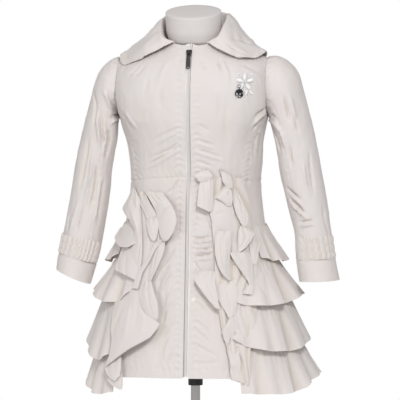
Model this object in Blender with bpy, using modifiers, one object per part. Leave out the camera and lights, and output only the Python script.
"""A child's ruffled rain jacket, worn by a limbless dress form on a round stand.

Tables and sizes are in millimetres and meshes in metres. +Z is up, the zip faces -Y, and +X is the
wearer's left. The origin is the middle of the base's underside.
"""

import math
from collections import namedtuple

import bmesh
import bpy
from mathutils import Matrix, Vector

MM = 0.001

# Cloth and seams
CLOTH = 1.2
SEAM_GAP = 0.25
RUFFLE_ROOT = 2.0
ZIP_GAP_X = 4.6

# Heights on the body
WAIST_Z = 524.0
WAIST_DIP = 9.0
ARMPIT_Z = 633.0
ARM_Z = 665.0
ARMHOLE_DEEP = 38.0
SECTION_POWER = 2.2

# Shoulder ridge and neckline
NECK_X = 52.0
NECK_RIDGE_Z = 766.0
SHOULDER_X = 124.0
SHOULDER_Z = 733.0
FRONT_NECK_Z = 753.5
BACK_NECK_Z = 772.0

# Princess seams, in degrees round from the zip
PRINCESS_TURN = 59.5
PRINCESS_BEND_Z = 585.0
PRINCESS_TOP_TURN = 88.5
SHOULDER_TURN = 90.0
BACK_SHOULDER_TURN = 89.99

# Columns of points across each panel
BODICE_FRONT_COLUMNS = 9
BODICE_SIDE_COLUMNS = 6
BODICE_BACK_COLUMNS = 13
SKIRT_FRONT_COLUMNS = 5
SKIRT_SIDE_COLUMNS = 9
SLEEVE_UPPER_COLUMNS = 13
SLEEVE_UNDER_COLUMNS = 6
SLEEVE_BAND_COLUMNS = 18
SHIRRING_COLUMNS = 13

Section = namedtuple("Section", "z right left front back")
BODY = (
    Section(160, 191, 173, 122, 130),
    Section(190, 186, 170, 120, 128),
    Section(245, 178, 164, 114, 122),
    Section(313, 163, 155, 106, 115),
    Section(380, 143, 138, 98, 106),
    Section(447, 121, 120, 91, 97),
    Section(490, 113, 113, 87, 91),
    Section(524, 111, 110, 85, 87),
    Section(558, 114, 112, 88, 88),
    Section(587, 116, 116, 92, 90),
    Section(610, 120, 122, 95, 92),
    Section(633, 124, 128, 97, 93),
    Section(665, 124, 131, 96, 92),
)

FormSection = namedtuple("FormSection", "z half front back")
FORM = (
    FormSection(330, 98, 74, 84),
    FormSection(380, 103, 78, 90),
    FormSection(447, 103, 78, 86),
    FormSection(490, 98, 77, 79),
    FormSection(524, 97, 76, 77),
    FormSection(558, 101, 79, 79),
    FormSection(587, 106, 84, 83),
    FormSection(610, 112, 88, 86),
    FormSection(633, 117, 90, 88),
    FormSection(665, 121, 90, 88),
)
FORM_EASE = 2.3
FORM_NECK_EASE = 0.17
FORM_NECK_EASE_X = 80.0
FORM_SLICES = (
    330, 365, 405, 447, 486, 524, 558, 587, 612, 633, 648, 665, 682, 698, 711, 721, 728, 735, 742, 750, 756,
)
FORM_POINTS = 9
FORM_SIDE_TURN = 88.0
NeckRing = namedtuple("NeckRing", "z y radius tilt")
NECK = (
    NeckRing(757.5, -13, 41, 0),
    NeckRing(767, -14, 42, 3),
    NeckRing(776, -16, 47.5, 7),
    NeckRing(790, -19, 47.5, 11),
    NeckRing(808, -25, 47.5, 14),
    NeckRing(811, -26, 45.5, 14),
)

# Stand
SOCKET_RADIUS = 12.5
SOCKET_BOTTOM_Z = 175.0
POLE_RADIUS = 8.0
BASE_RADIUS = 140.0
BASE_HIGH = 12.0
TOUCH = 0.3
BASE_BEVEL = 3.0
SOCKET_BEVEL = 1.0

SleeveRing = namedtuple("SleeveRing", "out_x out_z in_x in_z deep mid_y")
SLEEVE_RIGHT = (
    SleeveRing(124.9, 735.5, 124.9, 635.0, 38, 0),
    SleeveRing(142.0, 735.7, 126.0, 632.8, 38, 0),
    SleeveRing(160.7, 725.5, 127.5, 627.0, 38, 0),
    SleeveRing(176.0, 705.9, 129.5, 617.5, 37, 0),
    SleeveRing(186.2, 670.2, 132.5, 605.0, 36, 0),
    SleeveRing(194.7, 637.9, 136.5, 588.0, 36, 0),
    SleeveRing(202.3, 605.6, 140.3, 568.0, 35, 1),
    SleeveRing(210.0, 566.5, 144.5, 539.3, 35, 1),
    SleeveRing(217.6, 524.0, 153.0, 505.0, 34, 0),
    SleeveRing(225.3, 481.5, 161.5, 470.0, 33, -3),
    SleeveRing(231.2, 445.8, 169.2, 438.5, 32, -6),
    SleeveRing(236.3, 410.1, 171.7, 407.0, 31, -10),
    SleeveRing(242.3, 381.2, 176.0, 380.0, 32, -13),
    SleeveRing(247.4, 358.3, 180.2, 354.9, 33, -16),
)
SLEEVE_LEFT = (
    SleeveRing(-131.9, 735.0, -131.9, 636.0, 38, 0),
    SleeveRing(-147.0, 728.3, -132.5, 633.0, 38, 0),
    SleeveRing(-161.7, 714.6, -133.0, 628.0, 38, 0),
    SleeveRing(-171.0, 695.0, -133.5, 619.2, 37, 0),
    SleeveRing(-178.7, 668.5, -134.0, 605.6, 36, 0),
    SleeveRing(-187.2, 637.9, -136.0, 590.3, 36, 0),
    SleeveRing(-194.7, 605.6, -140.0, 571.6, 35, 1),
    SleeveRing(-204.0, 566.5, -144.5, 544.4, 35, 1),
    SleeveRing(-211.7, 524.0, -147.0, 512.1, 34, 0),
    SleeveRing(-218.5, 481.5, -151.3, 470.0, 33, -3),
    SleeveRing(-225.3, 444.1, -157.3, 431.0, 32, -6),
    SleeveRing(-230.5, 411.8, -164.0, 396.0, 31, -10),
    SleeveRing(-235.0, 392.0, -171.5, 371.0, 32, -13),
    SleeveRing(-237.2, 372.7, -177.7, 347.2, 33, -16),
)
SLEEVE_FRONT_SEAM = 118.0
SLEEVE_BACK_SEAM = 238.0
HEM_BAND_START = 11.6
SLEEVE_WHOLE_RINGS = 11
SHIRRING_START = 10.3
SHIRRING_MIDDLE = 10.9
SHIRRING_END = HEM_BAND_START - 0.1
SHIRRING_OUT = 2.6
SHIRRING_SPANS = {"right": (-55.0, 105.0), "left": (-5.0, 160.0)}
SHIRRING_THICK = 1.2

# Ruffle tiers: a row for each place round the skirt; stand is how far a wave's crest leaves the skirt
TierRow = namedtuple("TierRow", "turn seam hem stand")
TIERS = {
    "tier_1_right": (8, (
        TierRow(56, 452, 396, 9),
        TierRow(75, 450, 387, 14),
        TierRow(90, 449, 384, 17),
        TierRow(130, 453, 384, 17),
        TierRow(179.93, 455, 386, 14),
    )),
    "tier_2_right": (10, (
        TierRow(22, 392, 330, 10),
        TierRow(35, 390, 318, 16),
        TierRow(60, 390, 316, 20),
        TierRow(90, 390, 325, 26),
        TierRow(130, 390, 316, 21),
        TierRow(179.93, 391, 318, 17),
    )),
    "tier_3_right": (11, (
        TierRow(21.5, 324, 262, 10),
        TierRow(40, 324, 243, 18),
        TierRow(65, 324, 240, 19),
        TierRow(90, 331, 251, 19),
        TierRow(130, 322, 246, 20),
        TierRow(179.93, 323, 246, 17),
    )),
    "tier_4_right": (12, (
        TierRow(27, 254, 172, 13),
        TierRow(60, 250, 170, 20),
        TierRow(90, 257, 193, 28),
        TierRow(130, 252, 180, 23),
        TierRow(179.93, 252, 178, 18),
    )),
    "tier_1_left": (8, (
        TierRow(64, 458, 400, 9),
        TierRow(78, 454, 386, 15),
        TierRow(90, 452, 382, 17),
        TierRow(130, 453, 384, 17),
        TierRow(179.93, 455, 386, 14),
    )),
    "tier_2_left": (9, (
        TierRow(35, 394, 344, 9),
        TierRow(50, 392, 320, 17),
        TierRow(65, 392, 319, 20),
        TierRow(90, 388, 331, 26),
        TierRow(130, 390, 316, 21),
        TierRow(179.93, 391, 318, 17),
    )),
    "tier_3_left": (10, (
        TierRow(33.5, 330, 262, 10),
        TierRow(45, 326, 238, 17),
        TierRow(58, 326, 220, 19),
        TierRow(90, 337, 251, 22),
        TierRow(130, 322, 246, 20),
        TierRow(179.93, 323, 246, 17),
    )),
    "tier_4_left": (10, (
        TierRow(44, 250, 170, 12),
        TierRow(62, 250, 164, 15),
        TierRow(90, 257, 186, 15),
        TierRow(130, 252, 178, 19),
        TierRow(179.93, 252, 178, 18),
    )),
}
TIER_DEPTHS = (0.0, 0.5, 1.0)
TIER_TROUGH = 0.34
TIER_BULGE = 1.3
WAVE_COLUMNS = 4

# Cascades beside the zip: root is the seam that the strip is set in, free is its loose edge
CascadeRow = namedtuple("CascadeRow", "z root free stand")
CASCADES = {
    "cascade_edge_right": (6, (
        CascadeRow(262, 66, 44, 8),
        CascadeRow(300, 57, 32, 16),
        CascadeRow(345, 52, 12, 21),
        CascadeRow(390, 46, 24, 18),
        CascadeRow(430, 42, 26, 14),
        CascadeRow(475, 41, 17, 18),
        CascadeRow(517, 40, 18, 9),
    )),
    "cascade_outer_right": (4, (
        CascadeRow(398, 86, 66, 9),
        CascadeRow(432, 90, 56, 21),
        CascadeRow(470, 84, 54, 18),
        CascadeRow(515, 74, 50, 8),
    )),
    "cascade_edge_left": (6, (
        CascadeRow(268, 92, 54, 10),
        CascadeRow(300, 88, 50, 17),
        CascadeRow(345, 84, 56, 18),
        CascadeRow(386, 73, 42, 18),
        CascadeRow(430, 60, 26, 21),
        CascadeRow(470, 60, 24, 19),
        CascadeRow(515, 56, 34, 9),
    )),
    "cascade_outer_left": (4, (
        CascadeRow(400, 106, 92, 8),
        CascadeRow(430, 108, 78, 18),
        CascadeRow(470, 102, 74, 20),
        CascadeRow(512, 92, 74, 8),
    )),
}
CASCADE_DEPTHS = (0.0, 0.4, 0.75, 1.0)
CASCADE_SWING = 12.0

# Front seam of the skirt, where the cascades and tiers are set in
SeamRow = namedtuple("SeamRow", "z right left")
SKIRT_SEAM = (
    SeamRow(160, 78, 110),
    SeamRow(250, 69, 98),
    SeamRow(311, 56, 90),
    SeamRow(345, 52, 85),
    SeamRow(386, 46, 73),
    SeamRow(430, 42, 60),
    SeamRow(540, 40, 56),
)
FRONT_HEM_Z = 197.0
SIDE_HEM_Z = 186.0
SKIRT_ROWS = 11

# Collar: root on the neckline, roll at its top, then the fall to the outer edge
CollarStation = namedtuple("CollarStation", "root roll fold fall edge")
COLLAR_RIGHT = (
    CollarStation((27, -55, 757.6), (29, -61, 760.5), (45, -68, 751), (72, -67, 738), (99, -55, 730)),
    CollarStation((39, -43, 761.6), (46, -57, 771), (56, -60, 768), (82, -57, 747), (108, -44, 733)),
    CollarStation((47.5, -27, 764.8), (52, -38, 787), (62, -39, 786), (88, -37, 758), (117, -29, 738)),
    CollarStation((51.6, -7, 766.8), (54, -12, 802), (65, -13, 799), (90, -13, 767), (123, -12, 743)),
    CollarStation((50.4, 8, 767.8), (52, 14, 806), (63, 18, 801), (88, 24, 768), (118, 28, 734)),
    CollarStation((41, 21.5, 769.2), (40, 38, 806), (49, 46, 801), (70, 60, 765), (94, 68, 713)),
    CollarStation((22, 36, 771.8), (21, 49, 805), (26, 60, 800), (37, 77, 762), (50, 91, 703)),
)
COLLAR_BACK = CollarStation((0, 48, 772.8), (0, 52, 804), (0, 63, 799), (0, 81, 760), (0, 97, 699))
COLLAR_LEFT = (
    CollarStation((27, -55, 757.6), (29, -61, 760.5), (46, -68, 752), (76, -67, 737), (106, -55, 721)),
    CollarStation((39, -43, 761.6), (46, -57, 769), (56, -60, 765), (86, -57, 744), (117, -46, 721)),
    CollarStation((47.5, -27, 764.8), (52, -38, 781), (62, -39, 779), (90, -38, 754), (125, -32, 729)),
    CollarStation((51.6, -7, 766.8), (54, -12, 794), (65, -13, 790), (88, -13, 766), (127, -12, 740)),
    CollarStation((50.4, 8, 767.8), (52, 14, 800), (63, 18, 795), (88, 24, 767), (121, 28, 734)),
    CollarStation((41, 21.5, 769.2), (40, 38, 803), (49, 46, 799), (70, 60, 765), (95, 68, 713)),
    CollarStation((22, 36, 771.8), (21, 49, 804), (26, 60, 800), (37, 77, 762), (50, 91, 703)),
)
COLLAR_STEPS = 8
COLLAR_MIDDLE_Y = -10.0
COLLAR_MIDDLE_BELOW = 60.0
# Weights of the near and far neighbours for a point halfway along a smooth curve
HALFWAY_NEAR = 0.5625
HALFWAY_FAR = 0.0625

# Zip
CHAIN_HALF = 4.0
CHAIN_BACK = -1.1
CHAIN_THICK = 2.0
CHAIN_BOTTOM_Z = 206.0
CHAIN_TOP_RISE = 711.0
TAPE_INNER = 0.6
TAPE_OUTER = 13.0
TAPE_OUT = -2.4
TAPE_THICK = 0.7
TAPE_TOP_RISE = 714.0
TAPE_BOTTOM_Z = CHAIN_BOTTOM_Z - 4
STRIP_LOW_STEPS = 13
STRIP_TOP_STEPS = 8
SLIDER_RISE = 702.5
SLIDER_LONG = 11.0
SLIDER_HALF_TOP = 5.0
SLIDER_HALF_END = 3.4
SLIDER_WIDE_FROM = SLIDER_LONG * 0.15
SLIDER_WIDE_TO = SLIDER_LONG * 0.4
SLIDER_HALF_NOSE = SLIDER_HALF_TOP * 0.7
SLIDER_LOW = 0.6
SLIDER_HIGH = 2.9
BRIDGE_WIRE = 0.75
BRIDGE_HALF_LONG = 3.6
BRIDGE_HIGH = 8.0
BRIDGE_SUNK = 0.5
BRIDGE_SQUARE = 0.6
BRIDGE_STEPS = 8
PIVOT_UP = -1.0
PIVOT_OUT = 5.0
TAB_LONG = 29.0
TAB_HALF = 3.3
TAB_THICK = 1.2
TAB_EYE_HALF = 1.75
TAB_EYE_LONG = 6.5
TAB_RIM = 1.2
TAB_HOLE_RADIUS = TAB_HALF * 0.45
TAB_LEAN = 19.0

# Charm
CHARM_X = 85.0
CHARM_Z = 671.0
CHARM_RADIUS = 7.5
CHARM_SIDES = 12
CHARM_THICK = 4.0
RING_RADIUS = 3.0
RING_WIRE = 0.55
EYE_RADIUS = 1.6
EYE_WIRE = 0.5
CHARM_HOOK_GAP = 0.8
RING_LIFT_GAP = 0.6
EYE_DROP_GAP = 0.4
RING_STEPS = 14
EYE_STEPS = 12
CHARM_BACK_RADIUS = CHARM_RADIUS * 0.8
CHARM_TABLE_RADIUS = CHARM_RADIUS * 0.62
CHARM_GIRDLE_LOW = -CHARM_THICK * 0.2
CHARM_GIRDLE_HIGH = CHARM_THICK * 0.05


def empty_scene():
    for thing in list(bpy.data.objects):
        bpy.data.objects.remove(thing, do_unlink=True)


def smooth_column(rows, key, value, at):
    """A smooth curve through one column of a table, read at a place in another column."""
    keys = [getattr(row, key) for row in rows]
    values = [getattr(row, value) for row in rows]
    if at <= keys[0]:
        return values[0]
    if at >= keys[-1]:
        return values[-1]
    last = len(keys) - 1
    low = max(i for i in range(last) if keys[i] <= at)

    def slope(i):
        before, after = max(i - 1, 0), min(i + 1, last)
        return (values[after] - values[before]) / (keys[after] - keys[before])

    span = keys[low + 1] - keys[low]
    t = (at - keys[low]) / span
    return (
        (2 * t**3 - 3 * t**2 + 1) * values[low]
        + (t**3 - 2 * t**2 + t) * span * slope(low)
        + (3 * t**2 - 2 * t**3) * values[low + 1]
        + (t**3 - t**2) * span * slope(low + 1)
    )


def smoothstep(t):
    t = max(0.0, min(1.0, t))
    return t * t * (3 - 2 * t)


def ridge_z(x):
    slope = (NECK_RIDGE_Z - SHOULDER_Z) / (SHOULDER_X - NECK_X)
    return NECK_RIDGE_Z - (abs(x) - NECK_X) * slope


def armhole_half(z):
    """Half the armhole's depth at a height: 0 below the armpit, an ellipse above it."""
    if z <= ARMPIT_Z:
        return 0.0
    return ARMHOLE_DEEP * math.sqrt(1 - ((ARM_Z - z) / (ARM_Z - ARMPIT_Z)) ** 2)


def surface(turn, rise):
    """A point of the outer cloth. turn is degrees round from the zip, towards +X.

    rise is the height up to ARM_Z; above it, each unit is one degree over the shoulder.
    """
    low = min(rise, ARM_Z)
    over = math.radians(max(0.0, min(rise - ARM_Z, 90.0)))
    sine, cosine = math.sin(math.radians(turn)), math.cos(math.radians(turn))
    half = smooth_column(BODY, "z", "right" if sine >= 0 else "left", low)
    deep = smooth_column(BODY, "z", "front" if cosine >= 0 else "back", low)
    hole = armhole_half(low)
    x = half * math.copysign(abs(sine) ** (2 / SECTION_POWER), sine)
    y = hole + (deep - hole) * abs(cosine) ** (2 / SECTION_POWER)
    z = low + (ridge_z(x) - ARM_Z) * math.sin(over)
    return Vector((x, -math.copysign(y, cosine) * math.cos(over), z))


def body_normal(turn, rise):
    step = 1.0
    across = surface(turn + step, rise) - surface(turn - step, rise)
    up = surface(turn, rise + step) - surface(turn, rise - step)
    return across.cross(up).normalized()


def cloth_point(turn, rise, out=0.0):
    return surface(turn, rise) + body_normal(turn, rise) * out


def turn_at(x, rise):
    """The turn, on the front, where the cloth is this far to one side."""
    half = smooth_column(BODY, "z", "right" if x >= 0 else "left", min(rise, ARM_Z))
    share = min(abs(x) / half, 1.0)
    return math.copysign(math.degrees(math.asin(share ** (SECTION_POWER / 2))), x)


def waist_z(turn):
    return WAIST_Z + WAIST_DIP * max(0.0, math.cos(math.radians(turn))) ** 2


def neck_rise(x, front):
    """The rise at which a column stops: at the neckline near the neck, else at the shoulder ridge."""
    if abs(x) >= NECK_X:
        return ARM_Z + 90.0
    middle = FRONT_NECK_Z if front else BACK_NECK_Z
    top = middle + (NECK_RIDGE_Z - middle) * (x / NECK_X) ** 2
    return ARM_Z + math.degrees(math.asin((top - ARM_Z) / (ridge_z(x) - ARM_Z)))


def finish(name, colour, roughness, metallic=0.0):
    material = bpy.data.materials.new(name)
    material.use_nodes = True
    shader = material.node_tree.nodes["Principled BSDF"]
    shader.inputs["Base Color"].default_value = (*colour, 1.0)
    shader.inputs["Roughness"].default_value = roughness
    shader.inputs["Metallic"].default_value = metallic
    return material


IVORY = ((0.80, 0.76, 0.73), 0.55, 0.0)
TAPE = ((0.78, 0.76, 0.74), 0.7, 0.0)
GUNMETAL = ((0.16, 0.15, 0.15), 0.3, 1.0)
STEEL = ((0.45, 0.44, 0.43), 0.35, 1.0)
FORM_WHITE = ((0.80, 0.80, 0.80), 0.6, 0.0)
BLACK = ((0.02, 0.02, 0.02), 0.4, 0.0)


def place(name, mesh, look, collection):
    thing = bpy.data.objects.new(name, mesh)
    mesh.materials.append(finish(name + "_finish", *look))
    collection.objects.link(thing)
    return thing


def trimmed(grid, columns=(0, 0), rows=(0, 0)):
    """The grid with its first and last columns and rows drawn in by these distances."""
    grid = [[Vector(p) for p in row] for row in grid]

    def draw_in(edge, towards, amount):
        for a, b in zip(edge, towards):
            if amount and (b - a).length > amount:
                a += (b - a).normalized() * amount

    draw_in([row[0] for row in grid], [row[1] for row in grid], columns[0])
    draw_in([row[-1] for row in grid], [row[-2] for row in grid], columns[1])
    draw_in(grid[0], grid[1], rows[0])
    draw_in(grid[-1], grid[-2], rows[1])
    return grid


def body_axis(point):
    return Vector((0.0, 0.0, point.z))


def cloth(name, grid, collection, inside=body_axis, closed=False, thick=CLOTH, look=IVORY, grow=-1.0):
    """A sheet through a grid of points. Its thickness grows inwards, or outwards where grow is 1."""
    mesh = bpy.data.meshes.new(name)
    bm = bmesh.new()
    verts = [[bm.verts.new(p * MM) for p in row] for row in grid]
    columns = len(grid[0])
    away = 0.0
    for i in range(len(grid) - 1):
        for j in range(columns if closed else columns - 1):
            k = (j + 1) % columns
            face = bm.faces.new((verts[i][j], verts[i][k], verts[i + 1][k], verts[i + 1][j]))
            face.normal_update()
            middle = face.calc_center_median() / MM
            away += face.normal.dot(middle - inside(middle)) * face.calc_area()
    if away < 0:
        bmesh.ops.reverse_faces(bm, faces=bm.faces[:])
    bm.to_mesh(mesh)
    bm.free()
    mesh.shade_smooth()
    thing = place(name, mesh, look, collection)
    wall = thing.modifiers.new("wall", "SOLIDIFY")
    wall.thickness = thick * MM
    wall.offset = grow
    return thing


def princess_turn(rise):
    """The princess seam: straight up the body, then out to the armpit."""
    bend = smoothstep((rise - PRINCESS_BEND_Z) / (ARMPIT_Z - PRINCESS_BEND_Z))
    return PRINCESS_TURN + (PRINCESS_TOP_TURN - PRINCESS_TURN) * bend


BODICE_RISES = (524, 546, 568, 588, 604, 619, 633, 639, 650, 665)
BODICE_OVER = (0.16, 0.32, 0.48, 0.64, 0.79, 0.91, 1.0)
BODICE_TOP_CLEAR = 6


def bodice_grid(first, last, columns, top=None):
    """Rows from the waist up; first and last give each edge's turn at a rise."""
    grid = []
    rises = [rise for rise in BODICE_RISES if not top or rise < top - BODICE_TOP_CLEAR]
    if top:
        rises.append(top)
    for rise in rises:
        row = []
        for j in range(columns):
            turn = first(rise) + (last(rise) - first(rise)) * j / (columns - 1)
            lift = (waist_z(turn) - WAIST_Z) * (ARM_Z - rise) / (ARM_Z - WAIST_Z)
            row.append(surface(turn, rise + lift))
        grid.append(row)
    if top:
        return grid
    for share in BODICE_OVER:
        row = []
        for j in range(columns):
            turn = first(ARM_Z) + (last(ARM_Z) - first(ARM_Z)) * j / (columns - 1)
            stop = neck_rise(surface(turn, ARM_Z).x, math.cos(math.radians(turn)) >= 0)
            row.append(surface(turn, ARM_Z + (stop - ARM_Z) * share))
        grid.append(row)
    return grid


def bodice(collection):
    for side, sign in (("right", 1), ("left", -1)):

        def zip_edge(rise, sign=sign):
            return turn_at(sign * ZIP_GAP_X, rise)

        def front_seam(rise, sign=sign):
            return sign * (princess_turn(rise) if rise <= ARMPIT_Z else SHOULDER_TURN)

        def back_seam(rise, sign=sign):
            return sign * (180.0 - princess_turn(rise))

        def side_seam(rise, sign=sign):
            return sign * princess_turn(rise)

        front = bodice_grid(zip_edge, front_seam, BODICE_FRONT_COLUMNS)
        cloth(f"bodice_front_{side}", trimmed(front, (0, SEAM_GAP), (SEAM_GAP, SEAM_GAP)), collection)
        middle = bodice_grid(side_seam, back_seam, BODICE_SIDE_COLUMNS, top=ARMPIT_Z)
        cloth(
            f"bodice_side_{side}",
            trimmed(middle, (SEAM_GAP, SEAM_GAP), (SEAM_GAP, 0)),
            collection,
        )

    def back_from(rise):
        return 180.0 - (princess_turn(rise) if rise <= ARMPIT_Z else BACK_SHOULDER_TURN)

    def back_to(rise):
        return 180.0 + (princess_turn(rise) if rise <= ARMPIT_Z else BACK_SHOULDER_TURN)

    back = bodice_grid(back_from, back_to, BODICE_BACK_COLUMNS)
    cloth("bodice_back", trimmed(back, (SEAM_GAP, SEAM_GAP), (SEAM_GAP, SEAM_GAP)), collection)


def skirt_hem_z(turn):
    return SIDE_HEM_Z + (FRONT_HEM_Z - SIDE_HEM_Z) * smoothstep(math.cos(math.radians(turn)))


def skirt_grid(first, last, columns):
    grid = []
    for i in range(SKIRT_ROWS):
        share = i / (SKIRT_ROWS - 1)
        row = []
        for j in range(columns):
            level = FRONT_HEM_Z + (WAIST_Z - FRONT_HEM_Z) * share
            turn = first(level) + (last(level) - first(level)) * j / (columns - 1)
            bottom = skirt_hem_z(turn)
            row.append(surface(turn, bottom + (waist_z(turn) - bottom) * share))
        grid.append(row)
    return grid


def seam_x(z, side):
    return smooth_column(SKIRT_SEAM, "z", side, z)


def skirt(collection):
    gaps = (SEAM_GAP, SEAM_GAP)
    for side, sign in (("right", 1), ("left", -1)):

        def zip_edge(z, sign=sign):
            return turn_at(sign * ZIP_GAP_X, z)

        def seam(z, sign=sign, side=side):
            return turn_at(sign * seam_x(z, side), z)

        def back_seam(z, sign=sign):
            return sign * (180.0 - PRINCESS_TURN)

        front = skirt_grid(zip_edge, seam, SKIRT_FRONT_COLUMNS)
        cloth(f"skirt_front_{side}", trimmed(front, (0, SEAM_GAP), (0, SEAM_GAP)), collection)
        around = skirt_grid(seam, back_seam, SKIRT_SIDE_COLUMNS)
        cloth(f"skirt_side_{side}", trimmed(around, gaps, (0, SEAM_GAP)), collection)

    def back_from(_):
        return 180.0 - PRINCESS_TURN

    def back_to(_):
        return 180.0 + PRINCESS_TURN

    back = skirt_grid(back_from, back_to, SKIRT_SIDE_COLUMNS)
    cloth("skirt_back", trimmed(back, gaps, (0, SEAM_GAP)), collection)


WAVE_DRIFT = 0.35
WAVE_DRIFT_TURNS = 1.7
CASCADE_TUCK = 1.5
CASCADE_TROUGH = 0.2


def wave(share, count):
    """0 in a trough, 1 on a crest; the drift makes the waves uneven."""
    drift = WAVE_DRIFT * math.sin(2 * math.pi * WAVE_DRIFT_TURNS * share) / 2
    phase = 2 * math.pi * (count * share + drift)
    return 0.5 - 0.5 * math.cos(phase)


def tier(name, collection):
    waves, rows = TIERS[name]
    sign = 1 if name.endswith("right") else -1
    columns = waves * WAVE_COLUMNS + 1
    grid = []
    for depth in TIER_DEPTHS:
        row = []
        for j in range(columns):
            share = j / (columns - 1)
            turn = rows[0].turn + (rows[-1].turn - rows[0].turn) * share
            seam = smooth_column(rows, "turn", "seam", turn)
            hem = smooth_column(rows, "turn", "hem", turn)
            stand = smooth_column(rows, "turn", "stand", turn)
            crest = TIER_TROUGH + (1 - TIER_TROUGH) * wave(share, waves)
            out = RUFFLE_ROOT + stand * crest * depth**TIER_BULGE
            row.append(cloth_point(sign * turn, seam + (hem - seam) * depth, out))
        grid.append(row)
    return cloth(name, grid, collection)


def cascade(name, collection):
    waves, rows = CASCADES[name]
    sign = 1 if name.endswith("right") else -1
    columns = waves * WAVE_COLUMNS + 1
    grid = []
    for depth in CASCADE_DEPTHS:
        row = []
        for j in range(columns):
            share = j / (columns - 1)
            z = rows[0].z + (rows[-1].z - rows[0].z) * share
            root = smooth_column(rows, "z", "root", z)
            free = smooth_column(rows, "z", "free", z)
            stand = smooth_column(rows, "z", "stand", z)
            crest = wave(share, waves)
            reach = free + CASCADE_SWING * (0.5 - crest)
            x = sign * (root - CASCADE_TUCK + (reach - root + CASCADE_TUCK) * depth)
            out = RUFFLE_ROOT + stand * (CASCADE_TROUGH + (1 - CASCADE_TROUGH) * crest) * depth
            row.append(cloth_point(turn_at(x, z), z, out))
        grid.append(row)
    return cloth(name, grid, collection)


def collar_curve(station, sign):
    """A collar section: a smooth line through the station's five points."""
    points = [Vector((sign * p[0], p[1], p[2])) for p in station]
    line = []
    for i in range(COLLAR_STEPS):
        at = i / (COLLAR_STEPS - 1) * (len(points) - 1)
        k = min(int(at), len(points) - 2)
        before, after = points[max(k - 1, 0)], points[min(k + 2, len(points) - 1)]
        a, b, t = points[k], points[k + 1], at - k
        line.append(
            (2 * t**3 - 3 * t**2 + 1) * a
            + (t**3 - 2 * t**2 + t) * (b - before) / 2
            + (3 * t**2 - 2 * t**3) * b
            + (t**3 - t**2) * (after - a) / 2
        )
    return line


def collar(collection):
    stations = [collar_curve(s, 1) for s in COLLAR_RIGHT]
    stations.append(collar_curve(COLLAR_BACK, 1))
    stations += [collar_curve(s, -1) for s in reversed(COLLAR_LEFT)]
    doubled = []
    last = len(stations) - 1
    for i in range(last):
        before, after = stations[max(i - 1, 0)], stations[min(i + 2, last)]
        doubled.append(stations[i])
        doubled.append([
            (b + c) * HALFWAY_NEAR - (a + d) * HALFWAY_FAR
            for a, b, c, d in zip(before, stations[i], stations[i + 1], after)
        ])
    doubled.append(stations[-1])

    def inside(point):
        return Vector((0, COLLAR_MIDDLE_Y, point.z - COLLAR_MIDDLE_BELOW))

    return cloth("collar", doubled, collection, inside=inside)


def sleeve_point(rings, along, around, out=0.0):
    """A point of a sleeve: along counts rings down, around is 0 outside, 90 in front, 180 inside."""
    Numbered = namedtuple("Numbered", ("n", *SleeveRing._fields))
    rows = [Numbered(i, *ring) for i, ring in enumerate(rings)]
    at = {f: smooth_column(rows, "n", f, along) for f in SleeveRing._fields}
    outer = Vector((at["out_x"], at["mid_y"], at["out_z"]))
    inner = Vector((at["in_x"], at["mid_y"], at["in_z"]))
    arm = (outer - inner) / 2
    front = Vector((0, -at["deep"], 0))
    sine, cosine = math.sin(math.radians(around)), math.cos(math.radians(around))
    normal = (arm * cosine / arm.length_squared + front * sine / front.length_squared).normalized()
    return (outer + inner) / 2 + arm * cosine + front * sine + normal * out


def sleeves(collection):
    for side, rings in (("right", SLEEVE_RIGHT), ("left", SLEEVE_LEFT)):

        def middle(point, rings=rings):
            nearest = min(rings, key=lambda r: abs((r.out_z + r.in_z) / 2 - point.z))
            return Vector(((nearest.out_x + nearest.in_x) / 2, nearest.mid_y, point.z))

        alongs = [*range(SLEEVE_WHOLE_RINGS), HEM_BAND_START]

        def grid(first, last, columns, stops, out=-CLOTH):
            return [
                [
                    sleeve_point(rings, along, first + (last - first) * j / (columns - 1), out)
                    for j in range(columns)
                ]
                for along in stops
            ]

        gaps = (SEAM_GAP, SEAM_GAP)
        upper = grid(SLEEVE_BACK_SEAM - 360, SLEEVE_FRONT_SEAM, SLEEVE_UPPER_COLUMNS, alongs)
        cloth(f"sleeve_upper_{side}", trimmed(upper, gaps, (0, SEAM_GAP)), collection, middle, grow=1.0)
        under = grid(SLEEVE_FRONT_SEAM, SLEEVE_BACK_SEAM, SLEEVE_UNDER_COLUMNS, alongs)
        cloth(f"sleeve_under_{side}", trimmed(under, gaps, (0, SEAM_GAP)), collection, middle, grow=1.0)
        last = len(rings) - 1
        band = [
            [sleeve_point(rings, along, 360 * j / SLEEVE_BAND_COLUMNS) for j in range(SLEEVE_BAND_COLUMNS)]
            for along in (HEM_BAND_START, (HEM_BAND_START + last) / 2, last)
        ]
        cloth(
            f"sleeve_hem_{side}", trimmed(band, (0, 0), (SEAM_GAP, 0)), collection, middle, closed=True
        )
        start, end = SHIRRING_SPANS[side]
        stops = (SHIRRING_START, SHIRRING_MIDDLE, SHIRRING_END)
        patch = grid(start, end, SHIRRING_COLUMNS, stops, SHIRRING_OUT)
        cloth(f"sleeve_shirring_{side}", patch, collection, middle, thick=SHIRRING_THICK)


def strip(name, half_from, half_to, bottom, top, out, thick, collection, look):
    """A strip that runs up beside the zip, between two distances from its middle."""
    grid = []
    rises = [bottom + (ARM_Z - bottom) * i / STRIP_LOW_STEPS for i in range(STRIP_LOW_STEPS)]
    rises += [ARM_Z + (top - ARM_Z) * i / STRIP_TOP_STEPS for i in range(STRIP_TOP_STEPS + 1)]
    for rise in rises:
        grid.append([
            cloth_point(turn_at(x, rise), rise, out) for x in (half_from, half_to)
        ])
    return cloth(name, grid, collection, thick=thick, look=look)


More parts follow.
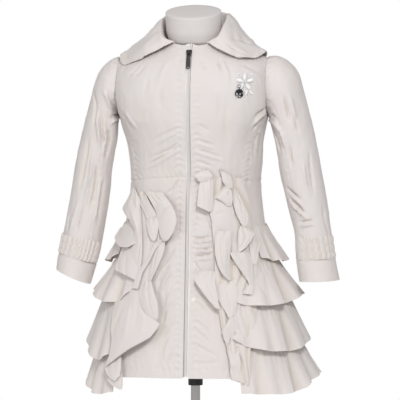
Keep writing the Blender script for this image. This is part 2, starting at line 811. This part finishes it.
def zip_frame(rise):
    """The zip's middle line at a rise: place, side direction, direction up the zip, outward."""
    here = surface(0, rise)
    up = (surface(0, rise + 1) - surface(0, rise - 1)).normalized()
    side = Vector((1, 0, 0))
    return here, side, up, side.cross(up).normalized()


def boolean(thing, cutter, operation):
    change = thing.modifiers.new(operation.lower(), "BOOLEAN")
    change.operation = operation
    change.solver = "EXACT"
    change.object = cutter


def applied(thing):
    """The object as its modifiers leave it, with none left on it."""
    depsgraph = bpy.context.evaluated_depsgraph_get()
    mesh = bpy.data.meshes.new_from_object(thing.evaluated_get(depsgraph))
    thing.modifiers.clear()
    thing.data = mesh
    bm = bmesh.new()
    bm.from_mesh(mesh)
    bmesh.ops.remove_doubles(bm, verts=bm.verts[:], dist=0.00001)
    bm.to_mesh(mesh)
    bm.free()
    return thing


def prism(name, outline, low, high, collection, look):
    """A plate with this outline in X and Y and its thickness along Z, in its own frame."""
    mesh = bpy.data.meshes.new(name)
    bm = bmesh.new()
    bottom = [bm.verts.new(Vector((x, y, low)) * MM) for x, y in outline]
    face = bm.faces.new(bottom)
    made = bmesh.ops.extrude_face_region(bm, geom=[face])
    top = [v for v in made["geom"] if isinstance(v, bmesh.types.BMVert)]
    bmesh.ops.translate(bm, verts=top, vec=Vector((0, 0, high - low)) * MM)
    bmesh.ops.recalc_face_normals(bm, faces=bm.faces[:])
    bm.to_mesh(mesh)
    bm.free()
    return place(name, mesh, look, collection)


def arc(centre, radius, start, end, steps):
    angles = [math.radians(start + (end - start) * i / steps) for i in range(steps + 1)]
    return [(centre[0] + radius * math.cos(a), centre[1] + radius * math.sin(a)) for a in angles]


def wire_loop(name, points, radius, cyclic, collection, look):
    """A round wire through points in its own frame, as a mesh."""
    curve = bpy.data.curves.new(name, "CURVE")
    curve.dimensions = "3D"
    curve.bevel_depth = radius * MM
    curve.bevel_resolution = 1
    curve.use_fill_caps = not cyclic
    spline = curve.splines.new("POLY")
    spline.points.add(len(points) - 1)
    for point, place_at in zip(spline.points, points):
        point.co = (*(Vector(place_at) * MM), 1.0)
    spline.use_cyclic_u = cyclic
    guide = bpy.data.objects.new(name + "_line", curve)
    collection.objects.link(guide)
    mesh = bpy.data.meshes.new_from_object(guide.evaluated_get(bpy.context.evaluated_depsgraph_get()))
    bpy.data.objects.remove(guide, do_unlink=True)
    bm = bmesh.new()
    bm.from_mesh(mesh)
    bmesh.ops.remove_doubles(bm, verts=bm.verts[:], dist=0.00001)
    bm.to_mesh(mesh)
    bm.free()
    return place(name, mesh, look, collection)


def as_cutter(thing, cutters):
    for collection in list(thing.users_collection):
        collection.objects.unlink(thing)
    cutters.objects.link(thing)
    thing.hide_render = True
    thing.display_type = "WIRE"
    return thing


def frame_matrix(origin, x, y, z):
    return Matrix.Translation(origin * MM) @ Matrix((x, y, z)).transposed().to_4x4()


def zip_parts(collection, cutters):
    strip(
        "zip_chain", -CHAIN_HALF, CHAIN_HALF, CHAIN_BOTTOM_Z, CHAIN_TOP_RISE,
        CHAIN_BACK + CHAIN_THICK, CHAIN_THICK, collection, STEEL,
    )
    for side, sign in (("right", 1), ("left", -1)):
        strip(
            f"zip_tape_{side}", sign * TAPE_INNER, sign * TAPE_OUTER, TAPE_BOTTOM_Z,
            TAPE_TOP_RISE, TAPE_OUT, TAPE_THICK, collection, TAPE,
        )
    here, side_way, up, out = zip_frame(SLIDER_RISE)
    shape = (
        (-SLIDER_HALF_END, -SLIDER_LONG / 2),
        (SLIDER_HALF_END, -SLIDER_LONG / 2),
        (SLIDER_HALF_TOP, SLIDER_WIDE_FROM),
        (SLIDER_HALF_TOP, SLIDER_WIDE_TO),
        (SLIDER_HALF_NOSE, SLIDER_LONG / 2),
        (-SLIDER_HALF_NOSE, SLIDER_LONG / 2),
        (-SLIDER_HALF_TOP, SLIDER_WIDE_TO),
        (-SLIDER_HALF_TOP, SLIDER_WIDE_FROM),
    )
    slider = prism("zip_slider", shape, SLIDER_LOW, SLIDER_HIGH, collection, GUNMETAL)
    rise = BRIDGE_HIGH - BRIDGE_WIRE - SLIDER_HIGH + BRIDGE_SUNK
    foot = SLIDER_HIGH - BRIDGE_SUNK
    arch = [
        (0, BRIDGE_HALF_LONG * math.cos(a), foot + rise * math.sin(a) ** BRIDGE_SQUARE)
        for a in (math.pi * i / BRIDGE_STEPS for i in range(BRIDGE_STEPS + 1))
    ]
    bridge = wire_loop("zip_bridge", arch, BRIDGE_WIRE, False, collection, GUNMETAL)
    as_cutter(bridge, cutters)
    boolean(slider, bridge, "UNION")
    bpy.context.view_layer.update()
    applied(slider)
    slider.matrix_world = frame_matrix(here, side_way, up, out)

    pivot = here + up * PIVOT_UP + out * PIVOT_OUT
    half, rim = TAB_HALF, TAB_RIM / 2
    outline = arc((0, -TAB_LONG + half), half, -180, 0, 6) + [(half, rim), (-half, rim)]
    tab = prism("zip_pull", outline, -TAB_THICK / 2, TAB_THICK / 2, collection, GUNMETAL)
    eye = [
        (-TAB_EYE_HALF, -TAB_EYE_LONG), (TAB_EYE_HALF, -TAB_EYE_LONG),
        (TAB_EYE_HALF, -rim), (-TAB_EYE_HALF, -rim),
    ]
    cuts = (
        prism("zip_pull_eye", eye, -TAB_THICK, TAB_THICK, collection, GUNMETAL),
        prism(
            "zip_pull_hole", arc((0, -TAB_LONG + half), TAB_HOLE_RADIUS, 0, 315, 7),
            -TAB_THICK, TAB_THICK, collection, GUNMETAL,
        ),
    )
    for cut in cuts:
        as_cutter(cut, cutters)
        boolean(tab, cut, "DIFFERENCE")
    bpy.context.view_layer.update()
    applied(tab)
    lean = math.radians(TAB_LEAN)
    tab_up = Vector((0, math.sin(lean), math.cos(lean)))
    tab.matrix_world = frame_matrix(pivot, side_way, tab_up, side_way.cross(tab_up))


def charm_parts(collection, cutters):
    turn = turn_at(CHARM_X, CHARM_Z)
    here = surface(turn, CHARM_Z)
    out = body_normal(turn, CHARM_Z)
    out = Vector((out.x, out.y, 0)).normalized()
    side = Vector((-out.y, out.x, 0))
    up = Vector((0, 0, 1))
    hook = here + up * (CHARM_RADIUS + EYE_RADIUS + CHARM_HOOK_GAP)
    ring = [
        (RING_RADIUS * math.cos(a), RING_RADIUS * math.sin(a), 0)
        for a in (2 * math.pi * i / RING_STEPS for i in range(RING_STEPS))
    ]
    sewn = wire_loop("charm_ring", ring, RING_WIRE, True, collection, STEEL)
    lift = EYE_RADIUS + EYE_WIRE + RING_LIFT_GAP
    sewn.matrix_world = frame_matrix(hook + up * RING_RADIUS + out * lift, side, up, out)

    eye = [
        (0, EYE_RADIUS * math.sin(a) - EYE_RADIUS + RING_WIRE + RING_LIFT_GAP, EYE_RADIUS * math.cos(a))
        for a in (2 * math.pi * i / EYE_STEPS for i in range(EYE_STEPS))
    ]
    drop = -EYE_RADIUS - CHARM_RADIUS - EYE_DROP_GAP
    profile = (
        (CHARM_BACK_RADIUS, -CHARM_THICK / 2),
        (CHARM_RADIUS, CHARM_GIRDLE_LOW),
        (CHARM_RADIUS, CHARM_GIRDLE_HIGH),
        (CHARM_TABLE_RADIUS, CHARM_THICK / 2),
    )
    mesh = bpy.data.meshes.new("charm")
    bm = bmesh.new()
    rings = []
    for radius, level in profile:
        rings.append([
            bm.verts.new(Vector((x, y + drop, level)) * MM)
            for x, y in arc((0, 0), radius, 0, 360 - 360 / CHARM_SIDES, CHARM_SIDES - 1)
        ])
    for low, high in zip(rings, rings[1:]):
        for i in range(CHARM_SIDES):
            k = (i + 1) % CHARM_SIDES
            bm.faces.new((low[i], low[k], high[k], high[i]))
    bm.faces.new(rings[0])
    bm.faces.new(rings[-1])
    bmesh.ops.recalc_face_normals(bm, faces=bm.faces[:])
    bm.to_mesh(mesh)
    bm.free()
    charm = place("charm", mesh, GUNMETAL, collection)
    loop = wire_loop("charm_eye", eye, EYE_WIRE, True, collection, GUNMETAL)
    as_cutter(loop, cutters)
    boolean(charm, loop, "UNION")
    bpy.context.view_layer.update()
    applied(charm)
    pivot = hook + out * lift
    charm.matrix_world = frame_matrix(pivot, side, up, out)


def form_ridge_z(x):
    return ridge_z(x) - FORM_EASE - max(0.0, FORM_NECK_EASE_X - abs(x)) * FORM_NECK_EASE


def form_slice(z):
    """A ring of the torso at a height, kept inside the jacket by the form's ease."""
    low = min(z, ARM_Z)
    half = smooth_column(FORM, "z", "half", low)
    hole = max(armhole_half(low) - FORM_EASE, 0.0)
    ring = []
    for first, face in ((-FORM_SIDE_TURN, "front"), (180 - FORM_SIDE_TURN, "back")):
        deep = smooth_column(FORM, "z", face, low)
        for j in range(FORM_POINTS):
            turn = math.radians(first + 2 * FORM_SIDE_TURN * j / (FORM_POINTS - 1))
            sine, cosine = math.sin(turn), math.cos(turn)
            over = 1.0
            reach = half
            if z > ARM_Z:
                slope = (NECK_RIDGE_Z - SHOULDER_Z) / (SHOULDER_X - NECK_X)
                reach = min(half, NECK_X + (NECK_RIDGE_Z - FORM_EASE - z) / slope)
            x = reach * math.copysign(abs(sine) ** (2 / SECTION_POWER), sine)
            round_share = (max(0.0, 1 - (abs(x) / half) ** SECTION_POWER)) ** (1 / SECTION_POWER)
            if z > ARM_Z:
                lean = (z - ARM_Z) / (form_ridge_z(x) - ARM_Z)
                over = math.sqrt(max(0.0, 1 - min(lean, 1.0) ** 2))
            y = (hole + (deep - hole) * round_share) * over
            ring.append(Vector((x, -math.copysign(max(y, 1.0), cosine), z)))
    return ring


def form_neck_ring(row):
    tilt = math.radians(row.tilt)
    ring = []
    for first in (-FORM_SIDE_TURN, 180 - FORM_SIDE_TURN):
        for j in range(FORM_POINTS):
            turn = math.radians(first + 2 * FORM_SIDE_TURN * j / (FORM_POINTS - 1))
            x = row.radius * math.sin(turn)
            ahead = row.radius * math.cos(turn)
            y = row.y - ahead * math.cos(tilt)
            ring.append(Vector((x, y, row.z - ahead * math.sin(tilt))))
    return ring


def dress_form(collection):
    rings = [form_slice(z) for z in FORM_SLICES] + [form_neck_ring(row) for row in NECK]
    mesh = bpy.data.meshes.new("form_torso")
    bm = bmesh.new()
    verts = [[bm.verts.new(p * MM) for p in ring] for ring in rings]
    for low, high in zip(verts, verts[1:]):
        for i in range(len(low)):
            k = (i + 1) % len(low)
            bm.faces.new((low[i], low[k], high[k], high[i]))
    bm.faces.new(reversed(verts[0]))
    bm.faces.new(verts[-1])
    bmesh.ops.recalc_face_normals(bm, faces=bm.faces[:])
    bm.to_mesh(mesh)
    bm.free()
    mesh.shade_smooth()
    place("form_torso", mesh, FORM_WHITE, collection)


def cylinder(name, radius, bottom, top, sides, collection, look, bevel=0.0):
    mesh = bpy.data.meshes.new(name)
    bm = bmesh.new()
    bmesh.ops.create_cone(
        bm, cap_ends=True, segments=sides, radius1=radius * MM, radius2=radius * MM,
        depth=(top - bottom) * MM,
    )
    bmesh.ops.translate(bm, verts=bm.verts[:], vec=Vector((0, 0, (top + bottom) / 2 * MM)))
    bm.to_mesh(mesh)
    bm.free()
    thing = place(name, mesh, look, collection)
    if bevel:
        edge = thing.modifiers.new("edge", "BEVEL")
        edge.width = bevel * MM
        edge.segments = 2
    return thing


def stand(collection):
    socket_top = FORM_SLICES[0] - TOUCH
    cylinder("stand_base", BASE_RADIUS, 0, BASE_HIGH, 40, collection, STEEL, bevel=BASE_BEVEL)
    cylinder("stand_pole", POLE_RADIUS, BASE_HIGH + TOUCH, SOCKET_BOTTOM_Z - TOUCH, 20, collection, STEEL)
    cylinder(
        "stand_socket", SOCKET_RADIUS, SOCKET_BOTTOM_Z, socket_top, 24, collection, BLACK,
        bevel=SOCKET_BEVEL,
    )


def main():
    empty_scene()
    collection = bpy.data.collections.new("ruffled_rain_jacket")
    cutters = bpy.data.collections.new("cutters")
    bpy.context.scene.collection.children.link(collection)
    bpy.context.scene.collection.children.link(cutters)
    dress_form(collection)
    stand(collection)
    bodice(collection)
    skirt(collection)
    collar(collection)
    sleeves(collection)
    for name in TIERS:
        tier(name, collection)
    for name in CASCADES:
        cascade(name, collection)
    zip_parts(collection, cutters)
    charm_parts(collection, cutters)


main()
